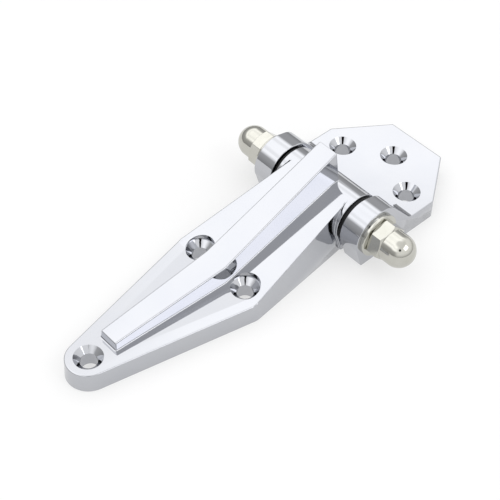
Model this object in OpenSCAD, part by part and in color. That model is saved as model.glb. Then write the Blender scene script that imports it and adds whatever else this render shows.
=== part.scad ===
// Strap hinge for an insulated refrigerator door: a long door strap and a short frame plate,
// both die cast, turning on one through pin that is closed by a cap nut at each end.
// Seen from the strap's tip, left is +Y. The mounting faces lie at z = 0.

/* [Knuckle] */
// Height of the pin axis above the mounting faces
pin_h = 11.8; // [11.2:0.1:14]
// Diameter of the pin
pin_d = 8; // [6:0.5:9]
// Outside diameter of the barrel and of the ears
knuckle_d = 20; // [18:0.5:21]
// How far the knuckle's foot reaches in front of the pin axis
foot_reach = 6.8; // [5:0.1:8]
// Length of the barrel along the pin
barrel_len = 33.4; // [30:0.2:38]
// Space between barrel and ear at each end
ear_gap = 1.7; // [1.2:0.1:2.5]
// Width of each ear along the pin
ear_w = 8.5; // [7:0.1:11]

/* [Door strap] */
// Pin axis to the screw at the tip
strap_reach = 108.3; // [98:0.1:125]
// Thickness of the strap's flange
strap_t = 7.4; // [6.5:0.1:9]
// Metal left around the screw head at the tip
tip_rim = 3.4; // [2.5:0.1:5]
// Pin axis to the pair of screws
pair_reach = 49.5; // [46:0.1:56]
// Spacing of the pair of screws
pair_span = 24; // [22:0.1:27]
// Metal left outside the screw heads at the shoulders
shoulder_rim = 3.9; // [3:0.1:5]
// Rounding of the shoulders
shoulder_r = 6; // [4:0.5:9]
// How far the neck's sides stay inside the barrel's ends
neck_inset = 1.3; // [0.5:0.1:2.5]
// Lean of the strap's sides
wall_draft = 4; // [2:0.1:6]
// Widest place of the strap in front of the pair of screws
shoulder_setback = 2; // [1:0.1:4]
// Start of the neck's ramp in front of the pair of screws
ramp_setback = 3.4; // [3:0.1:5]
// Wall over the hollow underside
strap_wall = 3; // [2.4:0.1:3.6]
// Thickness of the rib under the spine
rib_t = 3; // [2:0.1:4]
// Depth of the pockets under the tail
pocket_depth = 4; // [2:0.1:4.5]

/* [Spine] */
// End of the spine behind the screw at the tip
spine_setback = 8.6; // [7.5:0.1:11]
// Height of the spine's top at its tip
spine_tip_h = 10.8; // [9.8:0.1:12]
// Width of the spine's top at its tip
spine_tip_w = 7.7; // [6:0.1:9]
// Height of the spine's top at the bend over the screw pair
bend_h = 14.4; // [13:0.1:16]
// Width of the spine's top at the bend
bend_w = 10.4; // [9:0.1:11]
// Bend of the spine in front of the pair of screws
bend_setback = 2.8; // [1:0.1:2.8]
// Height of the spine's top at its heel
heel_h = 34.6; // [33:0.1:37]
// Width of the spine's top at its heel
heel_w = 8.7; // [7.5:0.1:10]
// How far the heel stands past the pin axis
heel_past = 0.7; // [0:0.1:1.5]
// Lean of the spine's sides
spine_draft = 4.5; // [2:0.1:6]

/* [Frame plate] */
// Thickness of the plate
plate_t = 7.7; // [6.5:0.1:9]
// Space between the barrel and the plate's front edge
plate_gap = 5.6; // [4.5:0.1:7]
// Pin axis to the plate's widest corners
corner_reach = 30.5; // [28:0.1:36]
// Pin axis to the plate's far edge
plate_reach = 50.6; // [48:0.1:60]
// Length of the plate's far edge
far_edge_w = 25.4; // [20:0.1:32]
// Pin axis to the foot of the ears' gussets
gusset_reach = 20; // [18:0.1:21]
// Rounding at the foot of the gussets
gusset_root_r = 4; // [2:0.1:5]
// Rounding of the ears' backs
ear_back_r = 8; // [7:0.1:9]
// How far the centre of that rounding lies behind the pin axis
ear_back_reach = 3; // [2.4:0.1:3.5]
// How far the centre of that rounding lies above the pin axis
ear_back_rise = 1.4; // [1:0.1:2]
// Pin axis to the plate's pair of screws
plate_pair_reach = 26.9; // [26.5:0.1:29]
// Spacing of the plate's pair of screws
plate_pair_span = 33.6; // [28:0.1:36]
// Pin axis to the plate's far screw
plate_far_reach = 37.6; // [35:0.1:42]

/* [Screw holes] */
// Diameter of the screw holes
screw_d = 6.2; // [5:0.1:6.6]
// Diameter of the countersinks
head_d = 10.4; // [9.5:0.1:11]
// Room around the screw heads that are sunk into the ramp
driver_room = 0.25; // [0.1:0.05:0.6]

/* [Bushes, washers and nuts] */
// Outside diameter of the bushes in the barrel
bush_d = 10.4; // [10.2:0.1:12]
// Length of a bush inside the barrel
bush_len = 12; // [8:0.5:14]
// How far a bush's flange stays inside the barrel's rim
flange_inset = 0.9; // [0.5:0.1:2]
// Outside diameter of the washers
washer_d = 17; // [15.5:0.1:18]
// Thickness of the washers
washer_t = 1.6; // [1:0.1:2.5]
// Width across the flats of the cap nuts
nut_af = 13; // [12.4:0.1:15]
// Height of the nuts' hexagon
nut_hex_h = 5.4; // [4.5:0.1:7]
// Height of the whole nut
nut_h = 15.5; // [14:0.1:17]
// How far the nuts' flats are chamfered in at their ends
nut_chamfer = 0.1; // [0.05:0.05:0.4]
// How far the nuts' domes are smaller than their flats
dome_step = 0.15; // [0.1:0.05:1]
// Metal over the nuts' blind threads
nut_crown = 4.5; // [3:0.1:6]
// Space between the pin's ends and the bottoms of the threads
pin_short = 0.6; // [0.3:0.1:2]
// Turn of the nuts' corners from the level
nut_turn = 15; // [0:1:59]

/* [Clearances] */
// Radial running clearance between pin and bushes
pin_clear = 0.06; // [0.02:0.01:0.1]
// Radial clearance of the pin in the ears and the washers
ear_clear = 0.15; // [0.05:0.01:0.25]
// Radial clearance of the bushes in the barrel, and of the pin's ends in the nuts
seat_clear = 0.02; // [0.01:0.01:0.04]
// End play of the barrel between the ears, for each side
end_play = 0.2; // [0.1:0.05:0.3]

/* [Hidden] */
$fn = 96;

// Height that every taper is drawn to, the thinnest slice of a taper, and how far cuts run past
tall = heel_h + 5;
skin = 0.01;
past = 1;

knuckle_r = knuckle_d / 2;
head_r = head_d / 2;
screw_r = screw_d / 2;
sink_depth = head_r - screw_r;
tip_r = head_r + tip_rim;
tail = strap_reach + tip_r;
neck_w = barrel_len - 2 * neck_inset;
shoulder_y = pair_span / 2 + head_r + shoulder_rim;
shoulder_reach = pair_reach + shoulder_setback;
ramp_foot = pair_reach + ramp_setback;
bend_reach = pair_reach + bend_setback;
spine_tip = strap_reach - spine_setback;
heel_foot_h = pin_h + knuckle_r - past;
ear_in = barrel_len / 2 + ear_gap;
ear_out = ear_in + ear_w;
nut_seat = ear_out + washer_t;
dome_r = nut_af / 2 - nut_chamfer - dome_step;
nut_bore = nut_h - nut_crown;
pin_half = nut_seat + nut_bore - pin_short;
pin_chamfer = pin_d / 10;
plate_front = knuckle_r + plate_gap;
pin_centre = [0, pin_h];
// Straight faces run into the rounds a little under their surface
blend = 0.02;
blend_r = knuckle_r - blend;

// The origin lies under the middle of the closed hinge
pin_x = (tail - plate_reach) / 2;

// Points where a straight line touches two circles, on the left of the way from a to b
function belt(a, ra, b, rb) =
    let (way = (b - a) / norm(b - a))
    let (along = (ra - rb) / norm(b - a))
    let (out = way * along + [-way.y, way.x] * sqrt(1 - along * along))
    [a + ra * out, b + rb * out];

// A profile drawn in X and Z, given a width across Y
module across(width) {
    rotate([90, 0, 0])
        linear_extrude(width, center = true)
            children();
}

// The same solid on both sides of the middle plane
module both_sides() {
    children();
    mirror([0, 1, 0])
        children();
}

// A solid that stands along -Y from the knuckle's middle, drawn along +Z
module along_pin(distance) {
    translate([0, -distance, pin_h])
        rotate([90, 0, 0])
            children();
}

// A bar whose sides lean inwards, from stations of [x, half width, height of that half width]
module leaning_bar(stations, draft) {
    lean = tan(draft);
    hull()
        for (z = [0, tall], side = [1, -1])
            translate([0, 0, z])
                linear_extrude(skin)
                    polygon(concat(
                        [for (s = stations) [s[0], 0]],
                        [for (i = [len(stations) - 1 : -1 : 0])
                            [stations[i][0], side * (stations[i][1] + (stations[i][2] - z) * lean)]]
                    ));
}

// A countersunk screw hole with its rim at a height, and room for the driver above it
module screw_hole(rim_z, room) {
    translate([0, 0, -past])
        cylinder(r = screw_r, h = rim_z + past);
    translate([0, 0, rim_z - sink_depth])
        cylinder(r1 = screw_r, r2 = head_r, h = sink_depth);
    translate([0, 0, rim_z])
        cylinder(r = head_r + room, h = tall);
}

// Side view of the knuckle: a round head on a foot that stands on the mounting face
module knuckle_side() {
    front = belt([-foot_reach, 0], 0, pin_centre, blend_r);
    translate(pin_centre)
        circle(knuckle_r);
    polygon([front[0], [0, 0], pin_centre, front[1]]);
}

// Long edges of the strap from above, on the left side, drawn in by an amount
function strap_edge(in) =
    let (tip = [-strap_reach, 0])
    let (shoulder = [-shoulder_reach, shoulder_y - shoulder_r])
    concat(
        belt(tip, tip_r - in, shoulder, shoulder_r - in),
        belt(shoulder, shoulder_r - in, [0, neck_w / 2], -in)
    );

// Side view of the strap's flange and of the ramp that runs up to the barrel
module flange_side() {
    ramp = belt([-ramp_foot, strap_t], 0, pin_centre, blend_r);
    polygon([[-tail, 0], [-tail, strap_t], ramp[0], ramp[1], pin_centre, [0, 0]]);
}

// Flange and neck of the strap, leaning inwards all round: flat sides, round tip and shoulders
module flange() {
    lean = tan(wall_draft);
    round_h = 2 * strap_t;
    intersection() {
        union() {
            hull()
                for (z = [0, tall])
                    translate([0, 0, z])
                        linear_extrude(skin)
                            for (side = [0, 1])
                                mirror([0, side])
                                    polygon(concat([[-shoulder_reach, 0]], strap_edge(z * lean)));
            translate([-strap_reach, 0, 0])
                cylinder(r1 = tip_r, r2 = tip_r - round_h * lean, h = round_h);
            both_sides()
                translate([-shoulder_reach, shoulder_y - shoulder_r, 0])
                    cylinder(r1 = shoulder_r, r2 = shoulder_r - round_h * lean, h = round_h);
        }
        across(2 * shoulder_y)
            flange_side();
    }
}

// Narrow spine along the strap: a long low tail, then a slope up to the heel over the pin
module spine() {
    lean = tan(spine_draft);
    tip_foot = spine_tip + spine_tip_h * lean;
    heel_foot = heel_past + (heel_h - heel_foot_h) * lean;
    intersection() {
        leaning_bar([
            [-tip_foot, spine_tip_w / 2, spine_tip_h],
            [-bend_reach, bend_w / 2, bend_h],
            [heel_foot, heel_w / 2, heel_h]
        ], spine_draft);
        across(2 * shoulder_y)
            polygon([
                [-tip_foot, 0],
                [-spine_tip, spine_tip_h],
                [-bend_reach, bend_h],
                [heel_past, heel_h],
                [heel_foot, heel_foot_h],
                pin_centre,
                [0, 0]
            ]);
    }
}

// Hollow underside: a room under the neck's ramp, a pocket under the tail, a rib along the middle
module hollow() {
    room_front = pair_reach - head_r - driver_room - strap_wall;
    room_back = knuckle_r - 2;
    ramp = belt([-ramp_foot, strap_t], 0, pin_centre, blend_r);
    ramp_rise = (ramp[1].y - ramp[0].y) / (ramp[1].x - ramp[0].x);
    ramp_z = function (x) strap_t + (x + ramp_foot) * ramp_rise - strap_wall;
    side_wall = strap_wall + tan(wall_draft) * pin_h;
    pocket_front = strap_reach - tip_r - strap_wall;
    pocket_back = pair_reach + head_r + 2 * strap_wall;
    difference() {
        union() {
            // Under the neck's ramp
            intersection() {
                across(2 * shoulder_y)
                    polygon([
                        [-room_front, -past],
                        [-room_front, ramp_z(-room_front)],
                        [-room_back, ramp_z(-room_back)],
                        [-room_back, -past]
                    ]);
                translate([-room_front, -neck_w / 2 + side_wall, -past])
                    cube([room_front, neck_w - 2 * side_wall, tall]);
            }
            // Under the tail
            translate([0, 0, -past])
                linear_extrude(pocket_depth + past)
                    polygon([
                        [-pocket_front, -tip_r + strap_wall / 2],
                        [-pocket_back, -shoulder_y + 2 * strap_wall],
                        [-pocket_back, shoulder_y - 2 * strap_wall],
                        [-pocket_front, tip_r - strap_wall / 2]
                    ]);
        }
        translate([-tail, -rib_t / 2, -2 * past])
            cube([tail, rib_t, tall]);
    }
}

module strap_leaf() {
    translate([pin_x, 0, 0])
        color("gainsboro")
        difference() {
            union() {
                difference() {
                    union() {
                        flange();
                        spine();
                    }
                    hollow();
                }
                across(barrel_len)
                    knuckle_side();
            }
            translate([-strap_reach, 0, 0])
                screw_hole(strap_t, 0);
            for (side = [1, -1])
                translate([-pair_reach, side * pair_span / 2, 0])
                    screw_hole(strap_t, driver_room);
            along_pin(-barrel_len)
                cylinder(d = bush_d, h = 2 * barrel_len);
        }
}

// Side view of an ear: the knuckle, a round back, and a gusset that runs out into the plate
module ear_side() {
    back = pin_centre + [ear_back_reach, ear_back_rise];
    root = [gusset_reach, plate_t + gusset_root_r];
    crest = belt(pin_centre, blend_r, back, ear_back_r - blend);
    slope = belt(back, ear_back_r - blend, root, -gusset_root_r);
    knuckle_side();
    translate(back)
        circle(ear_back_r);
    polygon([pin_centre, crest[0], crest[1], back]);
    difference() {
        polygon([[0, 0], pin_centre, back, slope[0], slope[1], [gusset_reach, plate_t], [gusset_reach, 0]]);
        translate(root)
            circle(gusset_root_r + blend);
    }
}

module frame_leaf() {
    plate = [[plate_front, ear_out], [corner_reach, ear_out], [plate_reach, far_edge_w / 2]];
    translate([pin_x, 0, 0])
        color("gainsboro")
        difference() {
            union() {
                linear_extrude(plate_t)
                    polygon(concat(plate, [for (i = [2 : -1 : 0]) [plate[i].x, -plate[i].y]]));
                for (side = [1, -1])
                    translate([0, side * (ear_in + ear_w / 2), 0])
                        across(ear_w)
                            ear_side();
            }
            for (side = [1, -1])
                translate([plate_pair_reach, side * plate_pair_span / 2, 0])
                    screw_hole(plate_t, 0);
            translate([plate_far_reach, 0, 0])
                screw_hole(plate_t, 0);
            along_pin(-2 * ear_out)
                cylinder(d = pin_d + 2 * ear_clear, h = 4 * ear_out);
        }
}

module hinge_pin() {
    shank_r = pin_d / 2;
    translate([pin_x, 0, 0])
        color("silver")
        along_pin(0)
            rotate_extrude()
                polygon([
                    [0, -pin_half],
                    [shank_r - pin_chamfer, -pin_half],
                    [shank_r, -pin_half + pin_chamfer],
                    [shank_r, pin_half - pin_chamfer],
                    [shank_r - pin_chamfer, pin_half],
                    [0, pin_half]
                ]);
}

// Flanged bush: a sleeve in the barrel's end, with a collar that runs against the ear
module bush() {
    bore_r = pin_d / 2 + pin_clear;
    sleeve_r = bush_d / 2 - seat_clear;
    collar_t = ear_gap - end_play;
    translate([pin_x, 0, 0])
        color("#202022")
        along_pin(barrel_len / 2)
            rotate_extrude()
                polygon([
                    [bore_r, -bush_len],
                    [sleeve_r, -bush_len],
                    [sleeve_r, 0],
                    [knuckle_r - flange_inset, 0],
                    [knuckle_r - flange_inset, collar_t],
                    [bore_r, collar_t]
                ]);
}

module washer() {
    translate([pin_x, 0, 0])
        color("lightgray")
        along_pin(ear_out)
            difference() {
                cylinder(d = washer_d, h = washer_t);
                translate([0, 0, -past])
                    cylinder(d = pin_d + 2 * ear_clear, h = washer_t + 2 * past);
            }
}

// Cap nut: a chamfered hexagon under a tall dome, with a blind thread
module cap_nut() {
    corner_r = nut_af / 2 / cos(30);
    face_r = nut_af / 2 - nut_chamfer;
    chamfer_h = (corner_r - face_r + past) * tan(30);
    bore_r = pin_d / 2 + seat_clear;
    translate([pin_x, 0, 0])
        color("#c9c8bd")
        along_pin(nut_seat)
            difference() {
                union() {
                    intersection() {
                        rotate(nut_turn)
                            cylinder(r = corner_r, h = nut_hex_h, $fn = 6);
                        rotate_extrude()
                            polygon([
                                [0, 0],
                                [face_r, 0],
                                [corner_r + past, chamfer_h],
                                [corner_r + past, nut_hex_h - chamfer_h],
                                [face_r, nut_hex_h],
                                [0, nut_hex_h]
                            ]);
                    }
                    cylinder(r = dome_r, h = nut_h - dome_r);
                    translate([0, 0, nut_h - dome_r])
                        sphere(dome_r);
                }
                translate([0, 0, -past])
                    cylinder(r = bore_r, h = nut_bore + past);
            }
}

strap_leaf();
frame_leaf();
hinge_pin();
mirror([0, 1, 0]) bush();  // bush_left
bush();  // bush_right
mirror([0, 1, 0]) washer();  // washer_left
washer();  // washer_right
mirror([0, 1, 0]) cap_nut();  // cap_nut_left
cap_nut();  // cap_nut_right
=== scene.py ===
import math

import bmesh
import bpy
from mathutils import Matrix, Vector
from mathutils.bvhtree import BVHTree


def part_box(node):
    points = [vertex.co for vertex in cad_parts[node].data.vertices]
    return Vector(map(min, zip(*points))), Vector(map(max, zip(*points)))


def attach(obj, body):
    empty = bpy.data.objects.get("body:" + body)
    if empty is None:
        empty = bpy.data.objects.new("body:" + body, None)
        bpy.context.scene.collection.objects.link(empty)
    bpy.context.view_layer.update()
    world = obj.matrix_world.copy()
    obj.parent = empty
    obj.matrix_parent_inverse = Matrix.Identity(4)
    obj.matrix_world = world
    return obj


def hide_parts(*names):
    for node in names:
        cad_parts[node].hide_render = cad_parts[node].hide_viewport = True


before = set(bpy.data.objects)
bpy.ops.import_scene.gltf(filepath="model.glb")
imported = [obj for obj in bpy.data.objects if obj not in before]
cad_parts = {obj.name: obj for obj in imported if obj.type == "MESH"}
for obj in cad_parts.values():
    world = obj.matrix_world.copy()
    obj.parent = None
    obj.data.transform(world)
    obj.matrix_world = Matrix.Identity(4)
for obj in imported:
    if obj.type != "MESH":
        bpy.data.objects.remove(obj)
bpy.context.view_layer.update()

scene = bpy.context.scene
scene.view_settings.view_transform = "Standard"


# Studio: a white paper floor inside a soft white tent, seen from the door side of the hinge.
# The tent is bright behind the hinge, where the flat tops mirror it, dimmer overhead, towards the
# camera and near the floor. A square soft light hangs on the right, over the strap's long side.
def linear(code):
    """Linear colour of an sRGB hex value."""
    parts = [int(code[i:i + 2], 16) / 255 for i in (1, 3, 5)]
    return [c / 12.92 if c <= 0.04045 else ((c + 0.055) / 1.055) ** 2.4 for c in parts] + [1.0]


def add(tree, kind, sockets=None, **settings):
    """A new node with its settings, and its sockets set to a value or linked from another socket."""
    node = tree.nodes.new(kind)
    for name, value in settings.items():
        setattr(node, name, value)
    for key, value in (sockets or {}).items():
        if isinstance(value, bpy.types.NodeSocket):
            tree.links.new(value, node.inputs[key])
        else:
            node.inputs[key].default_value = value
    return node


def look_from(azimuth, elevation):
    """Unit vector from the hinge towards a place at that azimuth and height."""
    a, e = math.radians(azimuth), math.radians(elevation)
    return Vector((math.sin(a) * math.cos(e), -math.cos(a) * math.cos(e), math.sin(e)))


CAMERA_AZIMUTH, CAMERA_ELEVATION, CAMERA_ROLL = -42.68, 47.34, 0.79
CAMERA_DISTANCE, CAMERA_LENS, CAMERA_SENSOR = 0.46337, 91.7, 36.0
CAMERA_TARGET = Vector((0.00153, 0.00519, 0.0))

camera_data = bpy.data.cameras.new("camera")
camera_data.sensor_width = CAMERA_SENSOR
camera_data.lens = CAMERA_LENS
camera = bpy.data.objects.new("camera", camera_data)
scene.collection.objects.link(camera)
back = look_from(CAMERA_AZIMUTH, CAMERA_ELEVATION)
right = Vector((0, 0, 1)).cross(back).normalized()
upward = back.cross(right)
roll = math.radians(CAMERA_ROLL)
right, upward = (right * math.cos(roll) + upward * math.sin(roll),
                 upward * math.cos(roll) - right * math.sin(roll))
place = Matrix((right, upward, back)).transposed().to_4x4()
place.translation = CAMERA_TARGET + back * CAMERA_DISTANCE
camera.matrix_world = place
scene.camera = camera

# White paper: a matt floor that takes a faint shadow. Most of what the camera and the metal see of
# it is its even white.
FLOOR_SIDE, FLOOR_DROP, FLOOR_EVEN = 4.0, 0.0002, 0.6
PAPER, PAPER_EVEN = "#E8E8E8", "#FFFFFF"
half = FLOOR_SIDE / 2
floor_mesh = bpy.data.meshes.new("floor")
corners = [(x * half, y * half, -FLOOR_DROP) for x, y in ((-1, -1), (1, -1), (1, 1), (-1, 1))]
floor_mesh.from_pydata(corners, [], [(0, 1, 2, 3)])
floor = bpy.data.objects.new("floor", floor_mesh)
scene.collection.objects.link(floor)
paper = bpy.data.materials.new("white_paper_sweep")
paper.use_nodes = True
tree = paper.node_tree
tree.nodes.clear()
ray = add(tree, "ShaderNodeLightPath").outputs
seen = ray["Is Camera Ray"]
for kind in ("Is Glossy Ray", "Is Transmission Ray"):
    seen = add(tree, "ShaderNodeMath", {0: seen, 1: ray[kind]}, operation="MAXIMUM").outputs["Value"]
even = add(tree, "ShaderNodeMath", {0: seen, 1: FLOOR_EVEN}, operation="MULTIPLY").outputs["Value"]
matt = add(tree, "ShaderNodeBsdfDiffuse", {"Color": linear(PAPER)}).outputs["BSDF"]
white = add(tree, "ShaderNodeEmission", {"Color": linear(PAPER_EVEN), "Strength": 1.0}).outputs["Emission"]
sheet = add(tree, "ShaderNodeMixShader", {0: even, 1: matt, 2: white}).outputs["Shader"]
add(tree, "ShaderNodeOutputMaterial", {"Surface": sheet})
floor_mesh.materials.append(paper)

# The tent's cloth: heights are sines of the angle over the floor, each with its share of the full
# light. Its lit side is behind, a little to the left. A small dark opening, its reach in degrees, is
# where the camera looks in.
TENT_LIGHT = 1.85
TENT_BEHIND = ((0.0, 0.2), (0.46, 0.33), (0.61, 0.96), (0.68, 1.0), (0.72, 0.86), (0.78, 0.86),
               (0.82, 1.0), (0.88, 1.0), (0.92, 0.9), (0.96, 0.62), (1.0, 0.6))
TENT_BEFORE = ((0.0, 0.2), (0.08, 0.4), (0.3, 0.6), (0.72, 0.68), (0.8, 0.58), (0.9, 0.55), (1.0, 0.58))
LIT_SIDE, LIT_FROM, LIT_TO = (-0.35, 1, 0), -0.3, 0.2
SIDE_LIGHT, SIDE_TINT = 2.1, "#FEFDFF"
SIDE_TOWARDS, SIDE_HALF, SIDE_EDGE = Vector((0.254, -0.64, 0.722)).normalized(), (0.25, 0.18), 0.08
OPENING_REACH, OPENING_TINT = (9.0, 7.0), "#101010"
world = bpy.data.worlds.new("studio_tent")
scene.world = world
world.use_nodes = True
tree = world.node_tree
tree.nodes.clear()
direction = add(tree, "ShaderNodeTexCoord").outputs["Generated"]
height = add(tree, "ShaderNodeSeparateXYZ", {0: direction}).outputs["Z"]
walls = []
for profile in (TENT_BEFORE, TENT_BEHIND):
    wall = add(tree, "ShaderNodeValToRGB", {"Fac": height})
    stops = wall.color_ramp.elements
    while len(stops) < len(profile):
        stops.new(0.5)
    for stop, (level, share) in zip(stops, profile):
        stop.position, stop.color = level, (share, share, share, 1)
    walls.append(wall.outputs["Color"])
behind = add(tree, "ShaderNodeVectorMath", {0: direction, 1: LIT_SIDE}, operation="DOT_PRODUCT").outputs["Value"]
turn = add(tree, "ShaderNodeMapRange", {"Value": behind, "From Min": LIT_FROM, "From Max": LIT_TO},
           interpolation_type="SMOOTHSTEP").outputs["Result"]
tent = add(tree, "ShaderNodeMix", {0: turn, 6: walls[0], 7: walls[1]}, data_type="RGBA").outputs[2]
tent = add(tree, "ShaderNodeBackground", {"Color": tent, "Strength": TENT_LIGHT}).outputs["Background"]
side_right = Vector((0, 0, 1)).cross(SIDE_TOWARDS).normalized()
side_across = []
for axis, half in zip((side_right, SIDE_TOWARDS.cross(side_right)), SIDE_HALF):
    off = add(tree, "ShaderNodeVectorMath", {0: direction, 1: axis / half}, operation="DOT_PRODUCT").outputs["Value"]
    side_across.append(add(tree, "ShaderNodeMath", {0: off}, operation="ABSOLUTE").outputs["Value"])
outside = add(tree, "ShaderNodeMath", {0: side_across[0], 1: side_across[1]}, operation="MAXIMUM").outputs["Value"]
panel = add(tree, "ShaderNodeMapRange", {"Value": outside, "From Min": 1 + SIDE_EDGE, "From Max": 1 - SIDE_EDGE,
                                         "To Max": SIDE_LIGHT}, interpolation_type="SMOOTHSTEP").outputs["Result"]
facing = add(tree, "ShaderNodeVectorMath", {0: direction, 1: SIDE_TOWARDS}, operation="DOT_PRODUCT").outputs["Value"]
facing = add(tree, "ShaderNodeMath", {0: facing, 1: 0.0}, operation="GREATER_THAN").outputs["Value"]
panel = add(tree, "ShaderNodeMath", {0: panel, 1: facing}, operation="MULTIPLY").outputs["Value"]
lamp = add(tree, "ShaderNodeBackground", {"Color": linear(SIDE_TINT), "Strength": panel}).outputs["Background"]
lit = add(tree, "ShaderNodeAddShader", {0: tent, 1: lamp}).outputs["Shader"]
through = add(tree, "ShaderNodeVectorMath", {0: direction, 1: back}, operation="DOT_PRODUCT").outputs["Value"]
edges = [math.cos(math.radians(a)) for a in OPENING_REACH]
opening = add(tree, "ShaderNodeMapRange", {"Value": through, "From Min": edges[0], "From Max": edges[1]},
              interpolation_type="SMOOTHSTEP").outputs["Result"]
dark = add(tree, "ShaderNodeBackground", {"Color": linear(OPENING_TINT), "Strength": 1.0}).outputs["Background"]
studio = add(tree, "ShaderNodeMixShader", {0: opening, 1: lit, 2: dark}).outputs["Shader"]
add(tree, "ShaderNodeOutputWorld", {"Surface": studio})


# Door strap: one zinc die casting with flange, neck, spine and barrel. It was ground and polished,
# which drew its outer edges soft, then plated. Its screw holes were drilled and sunk, so they are
# crisp, and its hollow underside was left as it came from the die.
STRAP_EDGE_R, STRAP_FOOT_R, KNUCKLE_EDGE_R = 0.55, 0.5, 0.3
STRAP_HOLES = [(-0.07515, 0.0), (-0.01635, 0.012), (-0.01635, -0.012)]
HOLE_REACH, KNUCKLE_REACH = 0.0059, 0.0102
SLIVER, FLAT_TURN, EDGE_TURN = 4e-5, math.radians(0.6), math.radians(24)
EDGE_STEPS, EDGE_FULLNESS, SEAT_Z, FLAT_WEIGHT = 5, 0.62, 0.0001, 100
DOWNWARD, LEVEL, HOLLOW_REACH, SKIN_GAP = -0.5, 0.9, 0.04, 2e-5
pin_low, pin_high = (Vector(corner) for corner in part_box("hinge_pin"))
pin_axis = (pin_low + pin_high) / 2


def plain(piece):
    """Turns a piece and its modifiers into a plain mesh."""
    drawn = piece.data
    finished = bpy.data.meshes.new_from_object(piece.evaluated_get(bpy.context.evaluated_depsgraph_get()))
    piece.modifiers.clear()
    piece.data = finished
    bpy.data.meshes.remove(drawn)
    finished.name = piece.name
    return piece


def in_hole(point, holes):
    """Whether a point lies in a screw hole or on its rim."""
    return any(math.hypot(point.x - x, point.y - y) < HOLE_REACH for x, y in holes)


def softened(node, name, edge_r, foot_r, holes):
    """A casting from its solid: soft outer edges and filleted inner corners, in mm, and crisp holes."""
    shape = bmesh.new()
    shape.from_mesh(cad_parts[node].data)
    bmesh.ops.remove_doubles(shape, verts=shape.verts, dist=SLIVER)
    bmesh.ops.dissolve_limit(shape, angle_limit=FLAT_TURN, verts=shape.verts, edges=shape.edges)
    weight = shape.edges.layers.float.new("bevel_weight_edge")
    widest = max(edge_r, foot_r)
    for edge in shape.edges:
        if len(edge.link_faces) != 2 or abs(edge.calc_face_angle()) < EDGE_TURN:
            continue
        ends = [v.co for v in edge.verts]
        if all(p.z < SEAT_Z for p in ends) or all(in_hole(p, holes) for p in ends):
            edge.smooth = False
        elif all(math.hypot(p.x - pin_axis.x, p.z - pin_axis.z) < KNUCKLE_REACH for p in ends):
            edge[weight] = KNUCKLE_EDGE_R / widest
        else:
            edge[weight] = (edge_r if edge.is_convex else foot_r) / widest
    mesh = bpy.data.meshes.new(name)
    shape.to_mesh(mesh)
    shape.free()
    mesh.polygons.foreach_set("use_smooth", [True] * len(mesh.polygons))
    piece = bpy.data.objects.new(name, mesh)
    scene.collection.objects.link(piece)
    bevel = piece.modifiers.new("soft_edges", "BEVEL")
    bevel.limit_method = "WEIGHT"
    bevel.offset_type = "OFFSET"
    bevel.width = widest / 1000
    bevel.segments = EDGE_STEPS
    bevel.profile = EDGE_FULLNESS
    bevel.use_clamp_overlap = False
    bevel.miter_outer = "MITER_ARC"
    level = piece.modifiers.new("flat_faces_stay_flat", "WEIGHTED_NORMAL")
    level.weight = FLAT_WEIGHT
    level.keep_sharp = True
    return plain(piece)


def finish_casting(piece, holes, polished, as_cast):
    """Polished plate on what shows, the as-cast finish on the underside and in the hollows."""
    mesh = piece.data
    mesh.materials.clear()
    mesh.materials.append(polished)
    mesh.materials.append(as_cast)
    skin = BVHTree.FromPolygons([v.co for v in mesh.vertices], [p.vertices for p in mesh.polygons])
    for face in mesh.polygons:
        hidden = face.normal.z < DOWNWARD
        if not hidden and abs(face.normal.z) < LEVEL and not in_hole(face.center, holes):
            hidden = skin.ray_cast(face.center + face.normal * SKIN_GAP, face.normal, HOLLOW_REACH)[0] is not None
        face.material_index = 1 if hidden else 0


def dress(tree, tint, gloss, bump):
    """Gives a material's shader its colour, roughness and relief."""
    shader = tree.nodes["Principled BSDF"]
    for socket, value in (("Base Color", tint), ("Roughness", gloss), ("Normal", bump)):
        tree.links.new(value, shader.inputs[socket])


strap = softened("strap_leaf", "door_strap", STRAP_EDGE_R, STRAP_FOOT_R, STRAP_HOLES)

# Chromium plate on polished zinc: a neutral, slightly cool mirror. It follows the faint waves that
# polishing leaves in a casting, and wiping leaves a thin haze that shows in the sharpness.
CHROME, CHROME_COOL = "#BEBFC2", "#B7B9BF"
WAVE_MM, WAVE_DEEP, HAZE_MM, CHROME_ROUGH = 9.0, 0.000016, 16.0, (0.03, 0.09)
NOISE_LOW, NOISE_HIGH = 0.3, 0.7
chrome = bpy.data.materials.new("chromium_plate")
chrome.use_nodes = True
tree = chrome.node_tree
tree.nodes["Principled BSDF"].inputs["Metallic"].default_value = 1.0
spot = add(tree, "ShaderNodeTexCoord").outputs["Object"]
waves = add(tree, "ShaderNodeTexNoise", {"Vector": spot, "Scale": 1000 / WAVE_MM, "Detail": 1.0}).outputs["Fac"]
haze = add(tree, "ShaderNodeTexNoise", {"Vector": spot, "Scale": 1000 / HAZE_MM, "Detail": 4.0}).outputs["Fac"]
tint = add(tree, "ShaderNodeMix", {0: haze, 6: linear(CHROME), 7: linear(CHROME_COOL)}, data_type="RGBA").outputs[2]
gloss = add(tree, "ShaderNodeMapRange", {"Value": haze, "From Min": NOISE_LOW, "From Max": NOISE_HIGH,
                                         "To Min": CHROME_ROUGH[0], "To Max": CHROME_ROUGH[1]}).outputs["Result"]
bump = add(tree, "ShaderNodeBump", {"Height": waves, "Strength": 1.0, "Distance": WAVE_DEEP}).outputs["Normal"]
dress(tree, tint, gloss, bump)

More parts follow.
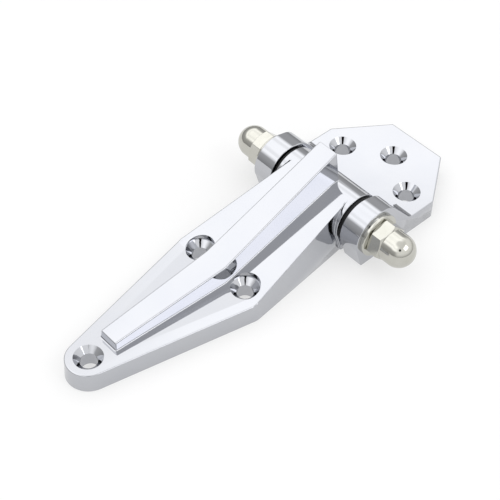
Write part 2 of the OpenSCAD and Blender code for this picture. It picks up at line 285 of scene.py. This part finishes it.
# The same plate on the bare skin of the casting: satin, with the fine orange-peel of the die.
CAST, CAST_DARK = "#B4B6B9", "#9EA0A4"
PEEL_MM, PEEL_DEEP, CLOUD_MM, CAST_ROUGH = 0.7, 0.00004, 7.0, (0.32, 0.48)
raw = bpy.data.materials.new("chromium_plate_as_cast")
raw.use_nodes = True
tree = raw.node_tree
tree.nodes["Principled BSDF"].inputs["Metallic"].default_value = 1.0
spot = add(tree, "ShaderNodeTexCoord").outputs["Object"]
peel = add(tree, "ShaderNodeTexNoise", {"Vector": spot, "Scale": 1000 / PEEL_MM, "Detail": 2.0}).outputs["Fac"]
cloud = add(tree, "ShaderNodeTexNoise", {"Vector": spot, "Scale": 1000 / CLOUD_MM, "Detail": 4.0}).outputs["Fac"]
tint = add(tree, "ShaderNodeMix", {0: cloud, 6: linear(CAST), 7: linear(CAST_DARK)}, data_type="RGBA").outputs[2]
gloss = add(tree, "ShaderNodeMapRange", {"Value": cloud, "From Min": NOISE_LOW, "From Max": NOISE_HIGH,
                                         "To Min": CAST_ROUGH[0], "To Max": CAST_ROUGH[1]}).outputs["Result"]
bump = add(tree, "ShaderNodeBump", {"Height": peel, "Strength": 0.6, "Distance": PEEL_DEEP}).outputs["Normal"]
dress(tree, tint, gloss, bump)

finish_casting(strap, STRAP_HOLES, chrome, raw)
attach(strap, "strap")
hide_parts("strap_leaf")


# Bushes: two flanged sleeves pressed into the ends of the barrel, whose collars run on the ears as
# the dark rings in the gaps. Moulded from black nylon.
BUSH_BORE_R, BUSH_SLEEVE_R, BUSH_COLLAR_R = 4.06, 5.18, 9.1
BUSH_FROM, BUSH_COLLAR_T, BUSH_LENGTH = 16.7, 1.5, 12.0
ARC_POINTS = 5
SEGMENTS, CORNER_WEAR, WELD = 192, 0.00015, 1e-6


def turning_tree():
    """Node tree that turns a profile, drawn as radius and place along the pin, around the pin: a grid
    of rows along the profile and columns around the pin, cut down to six flats where it has them."""
    tree = bpy.data.node_groups.new("turned_on_the_pin", "GeometryNodeTree")
    for name, kind in (("Profile", "Geometry"), ("Segments", "Int"), ("Ring", "Int"), ("Axis X", "Float"),
                       ("Axis Z", "Float"), ("Across Flats", "Float"), ("Turn of Flats", "Float"),
                       ("Corner Wear", "Float"), ("Finish", "Material")):
        tree.interface.new_socket(name, in_out="INPUT", socket_type="NodeSocket" + kind)
    tree.interface.new_socket("Solid", in_out="OUTPUT", socket_type="NodeSocketGeometry")
    given = add(tree, "NodeGroupInput").outputs

    curve = add(tree, "GeometryNodeMeshToCurve", {"Mesh": given["Profile"]}).outputs["Curve"]
    round_r = add(tree, "GeometryNodeInputNamedAttribute", {"Name": "round_r"}, data_type="FLOAT").outputs["Attribute"]
    arc = add(tree, "GeometryNodeInputNamedAttribute", {"Name": "arc_points"}, data_type="INT").outputs["Attribute"]
    curve = add(tree, "GeometryNodeFilletCurve", {"Curve": curve, "Radius": round_r, "Count": arc, "Limit Radius": True},
                mode="POLY").outputs["Curve"]
    count = add(tree, "GeometryNodeAttributeDomainSize", {"Geometry": curve}, component="CURVE").outputs["Point Count"]
    rows = add(tree, "ShaderNodeMath", {0: count, 1: given["Ring"]}, operation="ADD").outputs["Value"]
    columns = add(tree, "ShaderNodeMath", {0: given["Segments"], 1: 1.0}, operation="ADD").outputs["Value"]
    grid = add(tree, "GeometryNodeMeshGrid", {"Vertices X": rows, "Vertices Y": columns}).outputs["Mesh"]
    index = add(tree, "GeometryNodeInputIndex").outputs["Index"]
    row = add(tree, "ShaderNodeMath", {0: index, 1: 0.5}, operation="ADD").outputs["Value"]
    row = add(tree, "ShaderNodeMath", {0: row, 1: columns}, operation="DIVIDE").outputs["Value"]
    row = add(tree, "ShaderNodeMath", {0: row}, operation="FLOOR").outputs["Value"]
    column = add(tree, "ShaderNodeMath", {0: row, 1: columns}, operation="MULTIPLY").outputs["Value"]
    column = add(tree, "ShaderNodeMath", {0: index, 1: column}, operation="SUBTRACT").outputs["Value"]
    point = add(tree, "ShaderNodeMath", {0: row, 1: count}, operation="MODULO").outputs["Value"]
    here = add(tree, "GeometryNodeInputPosition").outputs["Position"]
    station = add(tree, "GeometryNodeSampleIndex", {"Geometry": curve, "Value": here, "Index": point},
                  data_type="FLOAT_VECTOR", domain="POINT").outputs["Value"]
    station = add(tree, "ShaderNodeSeparateXYZ", {0: station}).outputs
    angle = add(tree, "ShaderNodeMath", {0: column, 1: given["Segments"]}, operation="DIVIDE").outputs["Value"]
    angle = add(tree, "ShaderNodeMath", {0: angle, 1: math.tau}, operation="MULTIPLY").outputs["Value"]
    sixth = math.radians(60)
    off = add(tree, "ShaderNodeMath", {0: angle, 1: given["Turn of Flats"]}, operation="SUBTRACT").outputs["Value"]
    off = add(tree, "ShaderNodeMath", {0: off, 1: sixth}, operation="FLOORED_MODULO").outputs["Value"]
    off = add(tree, "ShaderNodeMath", {0: off, 1: sixth / 2}, operation="SUBTRACT").outputs["Value"]
    off = add(tree, "ShaderNodeMath", {0: off}, operation="COSINE").outputs["Value"]
    flat = add(tree, "ShaderNodeMath", {0: given["Across Flats"], 1: 2.0}, operation="DIVIDE").outputs["Value"]
    flat = add(tree, "ShaderNodeMath", {0: flat, 1: off}, operation="DIVIDE").outputs["Value"]
    radius = add(tree, "ShaderNodeMath", {0: station["X"], 1: flat, 2: given["Corner Wear"]},
                 operation="SMOOTH_MIN").outputs["Value"]
    places = []
    for turn, axis in (("COSINE", "Axis X"), ("SINE", "Axis Z")):
        share = add(tree, "ShaderNodeMath", {0: angle}, operation=turn).outputs["Value"]
        places.append(add(tree, "ShaderNodeMath", {0: radius, 1: share, 2: given[axis]},
                          operation="MULTIPLY_ADD").outputs["Value"])
    spot = add(tree, "ShaderNodeCombineXYZ", {"X": places[0], "Y": station["Y"], "Z": places[1]}).outputs["Vector"]
    solid = add(tree, "GeometryNodeSetPosition", {"Geometry": grid, "Position": spot}).outputs["Geometry"]
    solid = add(tree, "GeometryNodeMergeByDistance", {"Geometry": solid, "Distance": WELD}).outputs["Geometry"]
    solid = add(tree, "GeometryNodeRealizeInstances", {"Geometry": solid}).outputs["Geometry"]
    solid = add(tree, "GeometryNodeSetMaterial", {"Geometry": solid, "Material": given["Finish"]}).outputs["Geometry"]
    add(tree, "NodeGroupOutput", {"Solid": solid})
    return tree


turning = turning_tree()


def turned(name, profile, finish, ring=0, across_flats=1.0, turn_of_flats=0.0):
    """A turned piece. Each point of its profile has a radius, a place along the pin, the rounding
    of that corner, all in mm, and the points of the rounding. A ring's profile closes on itself."""
    mesh = bpy.data.meshes.new(name)
    links = [(i, i + 1) for i in range(len(profile) - 1)] + ([(len(profile) - 1, 0)] if ring else [])
    mesh.from_pydata([(r / 1000, y / 1000, 0) for r, y, _, _ in profile], links, [])
    mesh.attributes.new("round_r", "FLOAT", "POINT").data.foreach_set("value", [p[2] / 1000 for p in profile])
    mesh.attributes.new("arc_points", "INT", "POINT").data.foreach_set("value", [p[3] for p in profile])
    piece = bpy.data.objects.new(name, mesh)
    scene.collection.objects.link(piece)
    modifier = piece.modifiers.new("turned", "NODES")
    modifier.node_group = turning
    sizes = {"Segments": SEGMENTS, "Ring": ring, "Axis X": pin_axis.x, "Axis Z": pin_axis.z,
             "Across Flats": across_flats, "Turn of Flats": turn_of_flats, "Corner Wear": CORNER_WEAR, "Finish": finish}
    for socket in turning.interface.items_tree:
        if socket.name in sizes:
            modifier[socket.identifier] = sizes[socket.name]
    plain(piece)
    shape = bmesh.new()
    shape.from_mesh(piece.data)
    bmesh.ops.recalc_face_normals(shape, faces=shape.faces)
    for face in shape.faces:
        face.smooth = True
    shape.to_mesh(piece.data)
    shape.free()
    level = piece.modifiers.new("flat_faces_stay_flat", "WEIGHTED_NORMAL")
    level.weight = FLAT_WEIGHT
    return plain(piece)


# Black nylon: near black with the matt grain of the mould and a soft sheen.
NYLON, NYLON_WORN, NYLON_IOR, NYLON_SHEEN = "#0C0C0D", "#141415", 1.53, 0.25
GRAIN_MM, GRAIN_DEEP, NYLON_ROUGH = 0.35, 0.00002, (0.4, 0.62)
nylon = bpy.data.materials.new("moulded_black_nylon")
nylon.use_nodes = True
tree = nylon.node_tree
shader = tree.nodes["Principled BSDF"]
shader.inputs["IOR"].default_value = NYLON_IOR
shader.inputs["Specular IOR Level"].default_value = NYLON_SHEEN
spot = add(tree, "ShaderNodeTexCoord").outputs["Object"]
grain = add(tree, "ShaderNodeTexNoise", {"Vector": spot, "Scale": 1000 / GRAIN_MM, "Detail": 3.0}).outputs["Fac"]
tint = add(tree, "ShaderNodeMix", {0: grain, 6: linear(NYLON), 7: linear(NYLON_WORN)}, data_type="RGBA").outputs[2]
gloss = add(tree, "ShaderNodeMapRange", {"Value": grain, "To Min": NYLON_ROUGH[0],
                                         "To Max": NYLON_ROUGH[1]}).outputs["Result"]
bump = add(tree, "ShaderNodeBump", {"Height": grain, "Strength": 0.5, "Distance": GRAIN_DEEP}).outputs["Normal"]
dress(tree, tint, gloss, bump)

# Each corner has its radius, its place past the barrel's end and its rounding, in mm.
for side, hand in (("left", 1), ("right", -1)):
    outline = ((BUSH_BORE_R, -BUSH_LENGTH, 0.2), (BUSH_SLEEVE_R, -BUSH_LENGTH, 0.3), (BUSH_SLEEVE_R, 0, 0.0),
               (BUSH_COLLAR_R, 0, 0.15), (BUSH_COLLAR_R, BUSH_COLLAR_T, 0.4), (BUSH_BORE_R, BUSH_COLLAR_T, 0.2))
    profile = [(r, hand * (BUSH_FROM + y), rounding, ARC_POINTS) for r, y, rounding in outline]
    bush = turned("nylon_bush_" + side, profile, nylon, ring=1)
    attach(bush, "strap")
    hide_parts("bush_" + side)


# Frame plate: the short leaf, one zinc die casting with two ears that carry the pin. Polished and
# plated as the strap is, with its screw holes drilled and sunk.
PLATE_EDGE_R, PLATE_FOOT_R = 0.55, 1.0
PLATE_HOLES = [(0.06005, 0.0168), (0.06005, -0.0168), (0.07075, 0.0)]
plate = softened("frame_leaf", "frame_plate", PLATE_EDGE_R, PLATE_FOOT_R, PLATE_HOLES)
finish_casting(plate, PLATE_HOLES, chrome, raw)
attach(plate, "frame")
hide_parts("frame_leaf")


# Hinge pin: bright steel bar, turned to length with chamfered ends and ground. It runs through ears
# and bushes, and its threaded ends are hidden in the nuts.
PIN_R, PIN_HALF, PIN_CHAMFER, PIN_ROUND, PIN_ARC_POINTS = 4.0, 38.9, 0.8, 0.15, 4

# Ground steel: a bright grey with fine lines around the pin. The lines are drawn coarser than the
# grit that made them, so that they show.
STEEL, STEEL_DARK = "#B9B7B3", "#A4A29E"
GRIND_MM, GRIND_DEEP, STEEL_ROUGH = 0.12, 0.000006, (0.2, 0.4)
steel = bpy.data.materials.new("ground_steel")
steel.use_nodes = True
tree = steel.node_tree
tree.nodes["Principled BSDF"].inputs["Metallic"].default_value = 1.0
spot = add(tree, "ShaderNodeTexCoord").outputs["Object"]
along = add(tree, "ShaderNodeSeparateXYZ", {0: spot}).outputs["Y"]
lines = add(tree, "ShaderNodeTexNoise", {"W": along, "Scale": 1000 / GRIND_MM, "Detail": 3.0},
            noise_dimensions="1D").outputs["Fac"]
tint = add(tree, "ShaderNodeMix", {0: lines, 6: linear(STEEL), 7: linear(STEEL_DARK)}, data_type="RGBA").outputs[2]
gloss = add(tree, "ShaderNodeMapRange", {"Value": lines, "To Min": STEEL_ROUGH[0],
                                         "To Max": STEEL_ROUGH[1]}).outputs["Result"]
bump = add(tree, "ShaderNodeBump", {"Height": lines, "Strength": 0.6, "Distance": GRIND_DEEP}).outputs["Normal"]
dress(tree, tint, gloss, bump)

outline = ((0, -PIN_HALF, 0), (PIN_R - PIN_CHAMFER, -PIN_HALF, PIN_ROUND), (PIN_R, PIN_CHAMFER - PIN_HALF, PIN_ROUND),
           (PIN_R, PIN_HALF - PIN_CHAMFER, PIN_ROUND), (PIN_R - PIN_CHAMFER, PIN_HALF, PIN_ROUND), (0, PIN_HALF, 0))
pin = turned("ground_pin", [(r, y, rounding, PIN_ARC_POINTS) for r, y, rounding in outline], steel)
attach(pin, "frame")
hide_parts("hinge_pin")


# Washers: two plain steel washers between the ears and the nuts, stamped from sheet, so their outer
# edge is rolled over on one side. Plated with bright nickel.
WASHER_BORE_R, WASHER_R, WASHER_FROM, WASHER_T = 4.15, 8.5, 26.9, 1.6

# Bright nickel plate: a warm grey mirror, with the faint rings that turning and buffing leave, and
# a little haze. The rings are drawn coarser than the cutter's feed, so that they show.
NICKEL, NICKEL_WARM = "#C6C5BF", "#BBBAB1"
RING_MM, RING_DEEP, SMEAR_MM, NICKEL_ROUGH = 0.4, 0.000004, 3.0, (0.06, 0.15)
nickel = bpy.data.materials.new("bright_nickel_plate")
nickel.use_nodes = True
tree = nickel.node_tree
tree.nodes["Principled BSDF"].inputs["Metallic"].default_value = 1.0
spot = add(tree, "ShaderNodeTexCoord").outputs["Object"]
along = add(tree, "ShaderNodeSeparateXYZ", {0: spot}).outputs["Y"]
rings = add(tree, "ShaderNodeTexNoise", {"W": along, "Scale": 1000 / RING_MM, "Detail": 2.0},
            noise_dimensions="1D").outputs["Fac"]
smear = add(tree, "ShaderNodeTexNoise", {"Vector": spot, "Scale": 1000 / SMEAR_MM, "Detail": 3.0}).outputs["Fac"]
tint = add(tree, "ShaderNodeMix", {0: smear, 6: linear(NICKEL), 7: linear(NICKEL_WARM)}, data_type="RGBA").outputs[2]
gloss = add(tree, "ShaderNodeMapRange", {"Value": smear, "From Min": NOISE_LOW, "From Max": NOISE_HIGH,
                                         "To Min": NICKEL_ROUGH[0], "To Max": NICKEL_ROUGH[1]}).outputs["Result"]
bump = add(tree, "ShaderNodeBump", {"Height": rings, "Strength": 0.5, "Distance": RING_DEEP}).outputs["Normal"]
dress(tree, tint, gloss, bump)

for side, hand in (("left", 1), ("right", -1)):
    outline = ((WASHER_BORE_R, 0, 0.1), (WASHER_R, 0, 0.12), (WASHER_R, WASHER_T, 0.4), (WASHER_BORE_R, WASHER_T, 0.1))
    profile = [(r, hand * (WASHER_FROM + y), rounding, ARC_POINTS) for r, y, rounding in outline]
    washer = turned("steel_washer_" + side, profile, nickel, ring=1)
    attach(washer, "frame")
    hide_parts("washer_" + side)


# Cap nuts: domed hexagon nuts that close the ends of the pin. Turned from steel hexagon bar, with
# both ends of the flats chamfered, a blind thread and a polished dome, in bright nickel plate.
NUT_FROM, NUT_AF, NUT_HEX_H, NUT_H, NUT_TURN = 28.5, 13.0, 5.4, 15.5, 15
NUT_FACE_R, NUT_DOME_R, NUT_BORE_R, NUT_BORE_DEEP = 6.4, 6.25, 4.02, 11.0
CHAMFER_R, CHAMFER_POINTS, CHAMFER_ANGLE = 7.6, 10, 30
DOME_POINTS, DOME_FOOT_ROUND, DOME_FOOT_POINTS = 40, 0.1, 3
chamfer_h = (CHAMFER_R - NUT_FACE_R) * math.tan(math.radians(CHAMFER_ANGLE))
steps = [i / CHAMFER_POINTS for i in range(CHAMFER_POINTS + 1)]
lower = [(NUT_FACE_R + s * (CHAMFER_R - NUT_FACE_R), s * chamfer_h, 0, 1) for s in steps]
upper = [(r, NUT_HEX_H - h, rounding, points) for r, h, rounding, points in reversed(lower)]
outline = [(0, NUT_BORE_DEEP, 0, 1), (NUT_BORE_R, NUT_BORE_DEEP, 0, 1), (NUT_BORE_R, 0, 0, 1)] + lower + upper
outline += [(NUT_DOME_R, NUT_HEX_H, DOME_FOOT_ROUND, DOME_FOOT_POINTS), (NUT_DOME_R, NUT_H, NUT_DOME_R, DOME_POINTS),
            (0, NUT_H, 0, 1)]
for side, hand in (("left", 1), ("right", -1)):
    profile = [(r, hand * (NUT_FROM + h), rounding, points) for r, h, rounding, points in outline]
    nut = turned("cap_nut_dome_" + side, profile, nickel, across_flats=NUT_AF / 1000,
                 turn_of_flats=math.radians(NUT_TURN))
    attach(nut, "frame")
    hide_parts("cap_nut_" + side)
